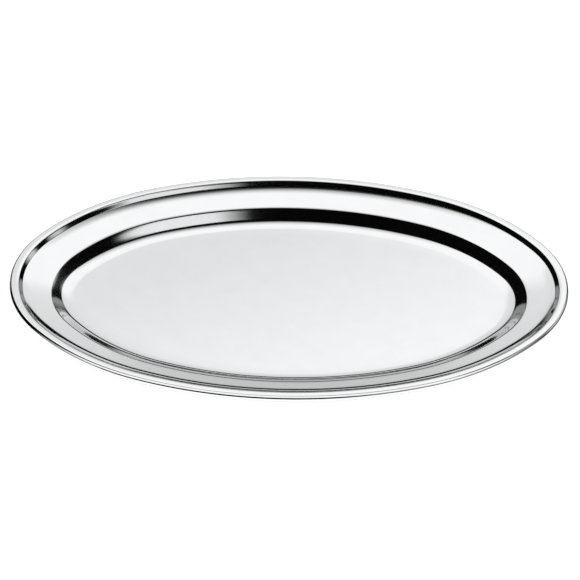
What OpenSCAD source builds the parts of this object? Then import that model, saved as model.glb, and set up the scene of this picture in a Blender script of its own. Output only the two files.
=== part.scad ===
// Oval serving tray, pressed from one steel sheet, its edge rolled over a steel wire.
// Millimetres. +X along the tray, +Y across it, +Z up. The origin is the centre of the
// underside of the well, on the surface that the tray stands on.
//
// The outline is an oval of eight arcs that closely follows an ellipse: an arc at each
// end, an arc at each side and a haunch arc between each two of them. The arcs meet
// where the outline faces along the long side of a 3-4-5 or a 44-117-125 triangle, so
// that their centres have short decimal places. The rim is the same all the way round.

/* [Outline] */
// Overall length, over the rolled edge
tray_length = 450; // [400:5:600]
// Overall width, over the rolled edge
tray_width = 300; // [290:5:320]
// Radius of the outline at the two ends
end_r = 105.8; // [104:0.2:108]

/* [Sheet] */
// Thickness of the steel sheet
sheet = 0.8; // [0.6:0.1:1]

/* [Rim section, from the well outward, at mid-sheet] */
// Radius of the bend from the well's floor into the wall
fillet_r = 22; // [12:1:26]
// Slope of the wall, in degrees
wall_slope = 29; // [24:1:34]
// Length of the straight part of the wall, along the slope
wall_run = 8.5; // [6:0.5:11]
// Radius of the bend from the wall to the flange
shoulder_r = 10; // [6:1:14]
// Slope of the flange, in degrees
flange_slope = 12; // [6:1:14]
// Length of the straight part of the flange, along the slope
flange_run = 13; // [9:0.5:15]
// Radius of the bend from the flange into the apron
cove_r = 28; // [16:1:30]
// Slope of the apron, the narrow strip between the flange and the step, in degrees
apron_slope = 24; // [18:1:28]
// Length of the straight part of the apron, along the slope
apron_run = 2.2; // [1:0.2:3]
// Radius of the bend from the apron into the step
step_foot_r = 3.5; // [2:0.5:5]
// Slope of the step up to the edge, in degrees
step_slope = 36; // [30:1:42]
// Length of the straight part of the step, along the slope
step_run = 2.7; // [2:0.1:4]
// Radius of the bend from the step to the flat top of the edge
crest_r = 5; // [4:0.5:7]
// Width of the flat top of the edge
crest_run = 2.5; // [2:0.5:4]

/* [Rolled edge] */
// Radius of the roll, over the outside of the sheet
roll_r = 3; // [2.8:0.1:3.4]
// How far the sheet is rolled round, in degrees
roll_turn = 290; // [240:5:300]
// Diameter of the wire inside the roll
wire_d = 4; // [3:0.1:4]
// Gap between the two ends of the wire
wire_gap = 0.6; // [0.4:0.2:4]

/* [Hidden] */
$fn = 96;

// Colours
steel_bright = [0.62, 0.625, 0.63];
steel_plain = [0.55, 0.56, 0.58];

// ---- Oval of eight arcs ----
half_length = tray_length / 2;
half_width = tray_width / 2;
// Outward directions in which neighbouring arcs meet: end to haunch, and haunch to side
end_to_haunch = [4, 3] / 5;
haunch_to_side = [44, 117] / 125;
// How much larger the haunch's radius is than the end's, and the side's than the haunch's
side_growth = (half_length - tray_width + end_r) / 0.224;
haunch_growth = (half_width - end_r - 0.064 * side_growth) / 0.4;
haunch_r = end_r + haunch_growth;
side_r = haunch_r + side_growth;
// Centres of the arc at +X, of the haunch towards +X and +Y, and of the arc at +Y
end_centre = [half_length - end_r, 0];
haunch_centre = end_centre - haunch_growth * end_to_haunch;
side_centre = [0, half_width - side_r];

// ---- Section of the rim ----
// One entry for each stretch: [length] is straight, [radius, turn] is a bend. A bend
// with a positive turn curls up, and one with a negative turn curls down.
roll_mid_r = roll_r - sheet / 2;
rim_path = [
    [fillet_r, wall_slope],
    [wall_run],
    [shoulder_r, flange_slope - wall_slope],
    [flange_run],
    [cove_r, apron_slope - flange_slope],
    [apron_run],
    [step_foot_r, step_slope - apron_slope],
    [step_run],
    [crest_r, -step_slope],
    [crest_run],
    [roll_mid_r, -roll_turn]
];
// Largest turn between two neighbouring points, on open bends and in the roll
bend_step = 6;
roll_step = 15;

// A pose on the path is [x, z, heading]
function move(pose, run) = [pose[0] + run * cos(pose[2]), pose[1] + run * sin(pose[2]), pose[2]];

// The pose after turning through an angle on a bend of a given radius
function turn(pose, radius, angle) =
    let (side = sign(angle), heading = pose[2] + angle)
    [
        pose[0] + side * radius * (sin(heading) - sin(pose[2])),
        pose[1] - side * radius * (cos(heading) - cos(pose[2])),
        heading
    ];

// All poses along one stretch, without its start
function stretch(pose, entry) =
    len(entry) == 1
        ? [move(pose, entry[0])]
        : let (
            largest = abs(entry[1]) > 180 ? roll_step : bend_step,
            count = ceil(abs(entry[1]) / largest)
        )
        [for (i = [1:count]) turn(pose, entry[0], entry[1] * i / count)];

// All poses along the whole path, from its start
function poses(pose, path, i = 0) =
    i == len(path)
        ? [pose]
        : let (part = stretch(pose, path[i]))
        concat(
            [pose],
            [for (k = [0:1:len(part) - 2]) part[k]],
            poses(part[len(part) - 1], path, i + 1)
        );

// The path starts at mid-sheet, where the floor of the well starts to bend
section = poses([0, sheet / 2, 0], rim_path);
// Reach of the section, from the start of the bend to the outside of the roll
roll_start = section[len(section) - 1 - ceil(roll_turn / roll_step)];
roll_x = roll_start[0];
roll_z = roll_start[1] - roll_mid_r;
rim_width = roll_x + roll_r;

// Coordinates are kept to a hundredth of a millimetre, so that all arcs of the rim have
// exactly the same section.
function tidy(v) = round(v * 100) / 100;

// Point of the section on one face of the sheet: side is 1 for the top, -1 for the underside
function face_point(pose, side) = [
    tidy(pose[0] - rim_width - side * sin(pose[2]) * sheet / 2),
    tidy(pose[1] + side * cos(pose[2]) * sheet / 2)
];

// Flat margin of the floor that belongs to the section. The floor plate ends inside it.
margin = 20;
margin_x = tidy(-rim_width) - margin;
plate_inset = tidy(rim_width) + margin / 2;

// Closed outline of the sheet's section. X is 0 on the oval's outline and negative inside.
sheet_outline = concat(
    [[margin_x, 0], [margin_x, sheet]],
    [for (pose = section) face_point(pose, 1)],
    [for (i = [len(section) - 1:-1:0]) face_point(section[i], -1)]
);

// Larger than any part of the rim
wedge_reach = 1000;
wedge_height = 100;

// ---- Shapes ----

// One arc of the outline, cut from a full ring between two directions. The child is the
// ring's section, with X counted from the outline.
module arc(centre, radius, from, to) {
    intersection() {
        translate(centre)
            rotate_extrude($fn = 360)
                translate([radius, 0])
                    children();
        translate([0, 0, -wedge_height / 2])
            linear_extrude(wedge_height)
                polygon([centre, centre + wedge_reach * from, centre + wedge_reach * to]);
    }
}

// The child section, swept round the whole outline
module round_the_outline() {
    for (x = [0, 1]) {
        mirror([x, 0, 0])
            arc(end_centre, end_r, [end_to_haunch[0], -end_to_haunch[1]], end_to_haunch)
                children();
        mirror([0, x, 0])
            arc(side_centre, side_r, haunch_to_side, [-haunch_to_side[0], haunch_to_side[1]])
                children();
        for (y = [0, 1])
            mirror([x, 0, 0])
                mirror([0, y, 0])
                    arc(haunch_centre, haunch_r, end_to_haunch, haunch_to_side)
                        children();
    }
}

// ---- Sub-parts ----

// The pressed sheet: floor, wall, flange, apron, step and rolled edge
module tray_body() {
    color(steel_bright)
        union() {
            floor_plate();
            round_the_outline()
                polygon(sheet_outline);
        }
}

// Middle of the well's floor. Its straight sides end inside the section's flat margin.
module floor_plate() {
    reach = [half_length - plate_inset, half_width - plate_inset];
    linear_extrude(sheet)
        polygon([for (angle = [0:15:345]) [reach[0] * cos(angle), reach[1] * sin(angle)]]);
}

// The wire in the rolled edge, with its two ends together at the middle of the back
module rim_wire() {
    color(steel_plain)
        difference() {
            round_the_outline()
                translate([tidy(roll_x - rim_width), tidy(roll_z)])
                    circle(d = wire_d, $fn = 24);
            translate([-wire_gap / 2, half_width - 2 * wire_d, 0])
                cube([wire_gap, 3 * wire_d, 10 * wire_d]);
        }
}

tray_body();
rim_wire();
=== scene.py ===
"""Oval serving tray in mirror-polished stainless steel, on a pale studio floor."""
import math

import bpy
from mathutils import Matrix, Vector


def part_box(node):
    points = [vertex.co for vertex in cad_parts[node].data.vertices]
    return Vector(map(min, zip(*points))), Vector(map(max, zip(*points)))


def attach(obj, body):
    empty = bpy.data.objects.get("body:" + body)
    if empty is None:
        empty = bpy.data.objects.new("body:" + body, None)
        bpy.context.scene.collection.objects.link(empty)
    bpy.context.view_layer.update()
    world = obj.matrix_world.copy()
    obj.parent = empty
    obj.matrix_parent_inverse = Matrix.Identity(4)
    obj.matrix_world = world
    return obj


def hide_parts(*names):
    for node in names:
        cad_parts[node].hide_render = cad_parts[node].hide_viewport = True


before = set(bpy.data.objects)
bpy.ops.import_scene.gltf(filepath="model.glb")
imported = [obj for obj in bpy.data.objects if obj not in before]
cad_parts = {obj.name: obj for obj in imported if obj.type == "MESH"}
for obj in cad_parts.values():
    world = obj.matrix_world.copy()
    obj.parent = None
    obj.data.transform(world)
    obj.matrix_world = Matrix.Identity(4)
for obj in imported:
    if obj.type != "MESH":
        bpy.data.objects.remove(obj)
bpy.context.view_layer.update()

MM = 0.001

# ---------------------------------------------------------------- the tray's section and outline
# The same section as the CAD body, at mid-sheet, from the well outward: a bend is (radius, turn in
# degrees), a straight run is (length,). Lengths are in millimetres.
SHEET = 0.8
FILLET = (22, 29)
WALL = (8.5,)
SHOULDER = (10, -17)
FLANGE = (13,)
COVE = (28, 12)
APRON = (2.2,)
STEP_FOOT = (3.5, 12)
STEP = (2.7,)
CREST = (5, -36)
CREST_RUN = (2.5,)
ROLL = (2.6, -290)
RIM = [FILLET, WALL, SHOULDER, FLANGE, COVE, APRON, STEP_FOOT, STEP, CREST, CREST_RUN, ROLL]

END_RADIUS = 105.8
END_TO_HAUNCH = (4 / 5, 3 / 5)
HAUNCH_TO_SIDE = (44 / 125, 117 / 125)

BEND_STEP = 3.0        # degrees between rows of the mesh in a bend
RUN_STEP = 3.0         # millimetres between rows on a straight run
COLUMN_STEP = 2.4      # millimetres between columns along the outer edge
FLOOR_ROWS = 12        # rows from the foot of the wall to the middle of the well
LIP_ROUNDING = 0.6     # how far the rolled edge's end bulges, in half thicknesses of the sheet


def rim_rows():
    """(distance outward, height, heading in radians) along the middle of the sheet, in mm."""
    x, z, heading = 0.0, SHEET / 2, 0.0
    rows = [(x, z, heading)]
    for part in RIM:
        if len(part) == 1:
            steps = math.ceil(part[0] / RUN_STEP)
            for _ in range(steps):
                x += part[0] / steps * math.cos(heading)
                z += part[0] / steps * math.sin(heading)
                rows.append((x, z, heading))
            continue
        radius, turn = part
        steps = math.ceil(abs(turn) / BEND_STEP)
        step = math.radians(turn) / steps
        chord = 2 * radius * math.sin(abs(step) / 2)
        for _ in range(steps):
            x += chord * math.cos(heading + step / 2)
            z += chord * math.sin(heading + step / 2)
            heading += step
            rows.append((x, z, heading))
    return rows


def sheet_rows():
    """The closed edge of the section, top face first: (distance in from the outer edge, height)."""
    middle = rim_rows()
    half = SHEET / 2
    top = [(x - half * math.sin(h), z + half * math.cos(h)) for x, z, h in middle]
    under = [(x + half * math.sin(h), z - half * math.cos(h)) for x, z, h in middle]
    x, z, h = middle[-1]
    lip = (x + LIP_ROUNDING * half * math.cos(h), z + LIP_ROUNDING * half * math.sin(h))
    outer = max(x for x, z in top + under)
    loop = top + [lip] + under[::-1]
    return [((x - outer) * MM, z * MM) for x, z in loop]


def outline(half_length, half_width):
    """Eight tangent arcs as (centre x, centre y, radius, direction) columns, once round."""
    end_r = END_RADIUS * MM
    # 0.4 is 1 - 3/5, 0.064 is 1 - 117/125, and 0.224 is 44/125 less twice 0.064
    side_growth = (half_length - 2 * half_width + end_r) / 0.224
    haunch_growth = (half_width - end_r - 0.064 * side_growth) / 0.4
    haunch_r = end_r + haunch_growth
    side_r = haunch_r + side_growth
    end = (half_length - end_r, 0.0)
    haunch = (end[0] - haunch_growth * END_TO_HAUNCH[0], -haunch_growth * END_TO_HAUNCH[1])
    side = (0.0, half_width - side_r)
    a1 = math.atan2(END_TO_HAUNCH[1], END_TO_HAUNCH[0])
    a2 = math.atan2(HAUNCH_TO_SIDE[1], HAUNCH_TO_SIDE[0])
    quarter = [(end, end_r, 0.0, a1), (haunch, haunch_r, a1, a2), (side, side_r, a2, math.pi / 2)]
    columns = []
    for centre, radius, start, stop in quarter:
        steps = math.ceil(radius * (stop - start) / (COLUMN_STEP * MM))
        for i in range(steps):
            columns.append((*centre, radius, start + (stop - start) * i / steps))
    columns.append((*side, side_r, math.pi / 2))
    second = [(-x, y, r, math.pi - a) for x, y, r, a in columns[-2::-1]]
    half = columns + second
    return half + [(x, -y, r, 2 * math.pi - a) for x, y, r, a in half[-2:0:-1]]


def tray_mesh():
    """The whole sheet as one closed mesh, sized from the CAD body's box."""
    _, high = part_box("tray_body")
    columns = outline(high[0], high[1])
    rows = sheet_rows()
    verts = []
    for inset, z in rows:
        for cx, cy, radius, angle in columns:
            reach = radius + inset
            verts.append((cx + reach * math.cos(angle), cy + reach * math.sin(angle), z))
    count = len(columns)
    faces = []

    def band(a, b):
        """Quads between the rings of vertices that start at a and at b, facing the row order."""
        for i in range(count):
            j = (i + 1) % count
            faces.append((a + i, b + i, b + j, a + j))

    for row in range(len(rows) - 1):
        band(row * count, (row + 1) * count)

    def well(ring, z, upward):
        """The flat of the well, from the given ring of vertices in to one middle vertex."""
        edge = verts[ring:ring + count]
        previous = ring
        for k in range(1, FLOOR_ROWS):
            keep = 1 - k / FLOOR_ROWS
            start = len(verts)
            verts.extend((x * keep, y * keep, z) for x, y, _ in edge)
            if upward:
                band(start, previous)
            else:
                band(previous, start)
            previous = start
        middle = len(verts)
        verts.append((0.0, 0.0, z))
        for i in range(count):
            j = (i + 1) % count
            faces.append((middle, previous + i, previous + j) if upward
                         else (middle, previous + j, previous + i))

    well(0, SHEET * MM, True)
    well((len(rows) - 1) * count, 0.0, False)
    mesh = bpy.data.meshes.new("tray_sheet")
    mesh.from_pydata(verts, [], faces)
    mesh.shade_smooth()
    return mesh


# ---------------------------------------------------------------- materials
def new_material(name):
    material = bpy.data.materials.new(name)
    material.use_nodes = True
    nodes, links = material.node_tree.nodes, material.node_tree.links
    return material, nodes, links, nodes["Principled BSDF"]


def polished_steel():
    """Mirror-polished sheet: fine polishing haze, faint hairlines and the sheet's own slight waves."""
    material, nodes, links, shader = new_material("mirror_polished_steel")
    shader.inputs["Metallic"].default_value = 1.0
    place = nodes.new("ShaderNodeTexCoord")

    haze = nodes.new("ShaderNodeTexNoise")
    haze.inputs["Scale"].default_value = 55
    haze.inputs["Detail"].default_value = 6
    links.new(place.outputs["Object"], haze.inputs["Vector"])

    tint = nodes.new("ShaderNodeValToRGB")
    tint.color_ramp.elements[0].position = 0.3
    tint.color_ramp.elements[0].color = (0.612, 0.617, 0.622, 1)
    tint.color_ramp.elements[1].position = 0.7
    tint.color_ramp.elements[1].color = (0.628, 0.633, 0.638, 1)
    links.new(haze.outputs["Fac"], tint.inputs["Fac"])
    links.new(tint.outputs["Color"], shader.inputs["Base Color"])

    stretch = nodes.new("ShaderNodeMapping")
    stretch.inputs["Scale"].default_value = (60, 2600, 2600)
    links.new(place.outputs["Object"], stretch.inputs["Vector"])
    hairline = nodes.new("ShaderNodeTexNoise")
    hairline.inputs["Scale"].default_value = 1
    hairline.inputs["Detail"].default_value = 3
    links.new(stretch.outputs["Vector"], hairline.inputs["Vector"])

    rough = nodes.new("ShaderNodeMapRange")
    rough.inputs["From Min"].default_value = 0.3
    rough.inputs["From Max"].default_value = 0.75
    rough.inputs["To Min"].default_value = 0.045
    rough.inputs["To Max"].default_value = 0.085
    links.new(hairline.outputs["Fac"], rough.inputs["Value"])
    links.new(rough.outputs["Result"], shader.inputs["Roughness"])

    wave = nodes.new("ShaderNodeTexNoise")
    wave.inputs["Scale"].default_value = 22
    wave.inputs["Detail"].default_value = 1
    links.new(place.outputs["Object"], wave.inputs["Vector"])
    bump = nodes.new("ShaderNodeBump")
    bump.inputs["Strength"].default_value = 1.0
    bump.inputs["Distance"].default_value = 0.00003
    links.new(wave.outputs["Fac"], bump.inputs["Height"])
    links.new(bump.outputs["Normal"], shader.inputs["Normal"])
    return material


def drawn_wire():
    """Plain drawn steel wire, with fine lines and a little dark mottling."""
    material, nodes, links, shader = new_material("drawn_steel_wire")
    shader.inputs["Metallic"].default_value = 1.0
    place = nodes.new("ShaderNodeTexCoord")
    grain = nodes.new("ShaderNodeTexNoise")
    grain.inputs["Scale"].default_value = 400
    grain.inputs["Detail"].default_value = 8
    links.new(place.outputs["Object"], grain.inputs["Vector"])
    tint = nodes.new("ShaderNodeValToRGB")
    tint.color_ramp.elements[0].color = (0.42, 0.43, 0.45, 1)
    tint.color_ramp.elements[1].color = (0.62, 0.63, 0.65, 1)
    links.new(grain.outputs["Fac"], tint.inputs["Fac"])
    links.new(tint.outputs["Color"], shader.inputs["Base Color"])
    rough = nodes.new("ShaderNodeMapRange")
    rough.inputs["To Min"].default_value = 0.3
    rough.inputs["To Max"].default_value = 0.5
    links.new(grain.outputs["Fac"], rough.inputs["Value"])
    links.new(rough.outputs["Result"], shader.inputs["Roughness"])
    bump = nodes.new("ShaderNodeBump")
    bump.inputs["Strength"].default_value = 0.3
    bump.inputs["Distance"].default_value = 0.0001
    links.new(grain.outputs["Fac"], bump.inputs["Height"])
    links.new(bump.outputs["Normal"], shader.inputs["Normal"])
    return material


def pale_floor():
    """A white light table: it glows enough to keep the tray's shadow faint."""
    material, nodes, links, shader = new_material("pale_floor")
    shader.inputs["Roughness"].default_value = 0.9
    shader.inputs["Specular IOR Level"].default_value = 0.1
    shader.inputs["Emission Color"].default_value = (1, 1, 1, 1)
    shader.inputs["Emission Strength"].default_value = 0.75
    place = nodes.new("ShaderNodeTexCoord")
    mottle = nodes.new("ShaderNodeTexNoise")
    mottle.inputs["Scale"].default_value = 3
    links.new(place.outputs["Object"], mottle.inputs["Vector"])
    tint = nodes.new("ShaderNodeValToRGB")
    tint.color_ramp.elements[0].color = (0.58, 0.58, 0.58, 1)
    tint.color_ramp.elements[1].color = (0.62, 0.62, 0.62, 1)
    links.new(mottle.outputs["Fac"], tint.inputs["Fac"])
    links.new(tint.outputs["Color"], shader.inputs["Base Color"])
    return material


# ---------------------------------------------------------------- the object
tray = bpy.data.objects.new("tray_sheet", tray_mesh())
bpy.context.scene.collection.objects.link(tray)
tray.data.materials.append(polished_steel())
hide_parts("tray_body")
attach(tray, "root")

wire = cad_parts["rim_wire"]
wire_material = drawn_wire()
for slot in wire.material_slots:
    slot.material = wire_material


# ---------------------------------------------------------------- studio
CARD_DISTANCE = 1.5    # metres from the tray to the cards and the diffuser
LOW_DISTANCE = 1.9     # metres to the low cards and side cards, which stand further back
TENT_RADIUS = 3
FLOOR_RADIUS = 2.9
# The diffuser's level at fractions of its height and of its width
DIFFUSER_RISE = [
    (0.0, 0.72), (0.05, 0.82), (0.12, 1.05), (0.25, 1.14), (0.35, 1.19), (0.42, 1.46),
    (0.50, 1.50), (0.68, 1.50), (0.78, 1.20), (0.88, 0.75), (0.96, 0.20), (1.0, 0.0),
]
DIFFUSER_FADE = [(0.0, 1.0), (0.94, 1.0), (1.0, 0.0)]


def glow(name, rise, spread):
    """A card's glow: its level at fractions of its height, times that at fractions of its width."""
    material = bpy.data.materials.new(name)
    material.use_nodes = True
    nodes, links = material.node_tree.nodes, material.node_tree.links
    nodes.clear()
    out = nodes.new("ShaderNodeOutputMaterial")
    emit = nodes.new("ShaderNodeEmission")
    place = nodes.new("ShaderNodeTexCoord")
    split = nodes.new("ShaderNodeSeparateXYZ")
    links.new(place.outputs["UV"], split.inputs["Vector"])
    levels = []
    for axis, stops in (("Y", rise), ("X", spread)):
        curve = nodes.new("ShaderNodeFloatCurve")
        line = curve.mapping.curves[0]
        curve.mapping.clip_max_y = 4
        while len(line.points) < len(stops):
            line.points.new(0.5, 0.5)
        for point, (position, level) in zip(line.points, stops):
            point.location = (position, level)
            point.handle_type = "VECTOR"
        curve.mapping.update()
        links.new(split.outputs[axis], curve.inputs["Value"])
        levels.append(curve)
    both = nodes.new("ShaderNodeMath")
    both.operation = "MULTIPLY"
    links.new(levels[0].outputs["Value"], both.inputs[0])
    links.new(levels[1].outputs["Value"], both.inputs[1])
    links.new(both.outputs["Value"], emit.inputs["Strength"])
    links.new(emit.outputs["Emission"], out.inputs["Surface"])
    return material


def direction(azimuth, elevation):
    """Unit vector; azimuth in degrees from straight behind the tray, positive to its right."""
    a, e = math.radians(azimuth), math.radians(elevation)
    return Vector((math.sin(a) * math.cos(e), math.cos(a) * math.cos(e), math.sin(e)))


def stage_only(item):
    """Part of the studio that shows in reflections but neither in the picture nor as a shadow."""
    item.visible_camera = False
    item.visible_shadow = False


def bent_card(name, points, faces, uvs, material):
    """A stage-only card from its points, faces and one UV for each point."""
    mesh = bpy.data.meshes.new(name)
    mesh.from_pydata(points, [], faces)
    layer = mesh.uv_layers.new(name="UVMap")
    for loop in mesh.loops:
        layer.data[loop.index].uv = uvs[loop.vertex_index]
    card = bpy.data.objects.new(name, mesh)
    bpy.context.scene.collection.objects.link(card)
    mesh.materials.append(material)
    stage_only(card)


def softbox(name, azimuths, elevations, level, distance=CARD_DISTANCE, soft=0.15):
    """A card bent round the tray, fading at its edges. Azimuths and elevations are in degrees."""
    across, up = 24, 24
    points, faces, uvs = [], [], []
    for j in range(up + 1):
        for i in range(across + 1):
            azimuth = azimuths[0] + (azimuths[1] - azimuths[0]) * i / across
            elevation = elevations[0] + (elevations[1] - elevations[0]) * j / up
            points.append(direction(azimuth, elevation) * distance)
            uvs.append((i / across, j / up))
    for j in range(up):
        for i in range(across):
            a = j * (across + 1) + i
            faces.append((a, a + 1, a + across + 2, a + across + 1))
    fade = [(0.0, 0.0), (soft, 1.0), (1 - soft, 1.0), (1.0, 0.0)]
    rise = [(x, level * y) for x, y in fade]
    bent_card(name, points, faces, uvs, glow(name, rise, fade))


def oval_diffuser(name, elevation, half_width, half_height, lean):
    """A flat oval lamp behind the tray, facing it. Its rise runs up it, leaning to the right."""
    rings, sides = 12, 72
    centre = direction(0, elevation) * CARD_DISTANCE
    upward, across = direction(0, elevation + 90), Vector((1, 0, 0))
    points, uvs, faces = [centre], [(0.0, 0.5)], []
    for ring in range(1, rings + 1):
        for side in range(sides):
            turn = 2 * math.pi * side / sides
            x = math.cos(turn) * ring / rings
            y = math.sin(turn) * ring / rings
            points.append(centre + across * (x * half_width) + upward * (y * half_height))
            height = y * math.cos(math.radians(lean)) + x * math.sin(math.radians(lean))
            uvs.append((ring / rings, (1 + height) / 2))
    for side in range(sides):
        following = (side + 1) % sides
        faces.append((0, 1 + side, 1 + following))
        for ring in range(rings - 1):
            a, b = 1 + ring * sides, 1 + (ring + 1) * sides
            faces.append((a + side, b + side, b + following, a + following))
    bent_card(name, points, faces, uvs, glow(name, DIFFUSER_RISE, DIFFUSER_FADE))


oval_diffuser("main_diffuser", 45.5, 0.80, 1.01, 16)
softbox("low_left_card", (-48, -7), (1, 9), 0.42, LOW_DISTANCE)
softbox("low_right_card", (7, 48), (1, 9), 0.42, LOW_DISTANCE)
softbox("side_card_left", (-50, -12), (7, 17), 0.38, LOW_DISTANCE)
softbox("side_card_right", (12, 50), (7, 17), 0.38, LOW_DISTANCE)
softbox("right_box", (38, 78), (18, 40), 0.85)
softbox("right_upper_box", (60, 88), (38, 54), 0.85)
softbox("left_box", (-125, -88), (8, 46), 0.8)
softbox("right_front_box", (82, 168), (4, 34), 0.4)
softbox("wall_window", (60, 94), (64, 87), 1.3)
softbox("step_window", (88, 160), (61, 79), 1.2)


def front_card(level=1.5, height=0.5):
    """A flat card above and in front of the tray, which the front of the rolled edge mirrors."""
    bpy.ops.mesh.primitive_plane_add(size=1, location=(0, -0.36, height))
    card = bpy.context.object
    card.name = "front_card"
    card.scale = (1.8, 0.62, 1)
    edge = [(0.0, 0.0), (0.06, 1.0), (0.94, 1.0), (1.0, 0.0)]
    card.data.materials.append(glow("front_card", [(x, level * y) for x, y in edge], edge))
    stage_only(card)


front_card()


def black_tent():
    """Black cloth all round, so that the steel mirrors black wherever there is no card."""
    material, _, _, shader = new_material("black_cloth")
    shader.inputs["Base Color"].default_value = (0.004, 0.004, 0.004, 1)
    shader.inputs["Roughness"].default_value = 1.0
    shader.inputs["Specular IOR Level"].default_value = 0.0
    bpy.ops.mesh.primitive_uv_sphere_add(segments=64, ring_count=32, radius=TENT_RADIUS)
    tent = bpy.context.object
    tent.name = "black_tent"
    tent.data.materials.append(material)
    stage_only(tent)


black_tent()

bpy.ops.mesh.primitive_circle_add(vertices=96, radius=FLOOR_RADIUS, fill_type="NGON", location=(0, 0, 0))
floor = bpy.context.object
floor.name = "studio_floor"
floor.data.materials.append(pale_floor())

world = bpy.data.worlds.new("studio")
bpy.context.scene.world = world
world.use_nodes = True
world.node_tree.nodes["Background"].inputs["Color"].default_value = (1, 1, 1, 1)
world.node_tree.nodes["Background"].inputs["Strength"].default_value = 1.0


def lamp(name, place, size, watts):
    """A round area lamp that faces the tray and doesn't show in its reflections."""
    data = bpy.data.lights.new(name, "AREA")
    data.shape = "DISK"
    data.size = size
    data.energy = watts
    light = bpy.data.objects.new(name, data)
    bpy.context.scene.collection.objects.link(light)
    light.location = place
    light.rotation_euler = Vector(place).to_track_quat("Z", "Y").to_euler()
    light.visible_glossy = False


lamp("overhead", (0, 0, 2.5), 2.4, 60)

# ---------------------------------------------------------------- camera
VIEW_ELEVATION = 36.54
VIEW_TURN = 2.14       # degrees to the tray's right of straight in front
DISTANCE = 10.0
FRAME_WIDTH = 0.4652   # metres across the picture at the tray
AIM_HEIGHT = 0.0140    # metres above the table, the height of the rolled edge's middle
AIM_RIGHT = 0.00088    # metres that the camera aims to the right of the tray's middle
AIM_DOWN = 0.00168     # metres that it aims below it

camera_data = bpy.data.cameras.new("camera")
camera_data.sensor_width = 36
camera_data.lens = camera_data.sensor_width * DISTANCE / FRAME_WIDTH
camera_data.clip_end = 5 * DISTANCE
camera = bpy.data.objects.new("camera", camera_data)
bpy.context.scene.collection.objects.link(camera)
away = direction(180 - VIEW_TURN, VIEW_ELEVATION)
turn = away.to_track_quat("Z", "Y")
right, up = turn @ Vector((1, 0, 0)), turn @ Vector((0, 1, 0))
target = Vector((0, 0, AIM_HEIGHT)) + right * AIM_RIGHT - up * AIM_DOWN
camera.location = target + away * DISTANCE
camera.rotation_euler = turn.to_euler()
bpy.context.scene.camera = camera
bpy.context.scene.view_settings.view_transform = "Standard"
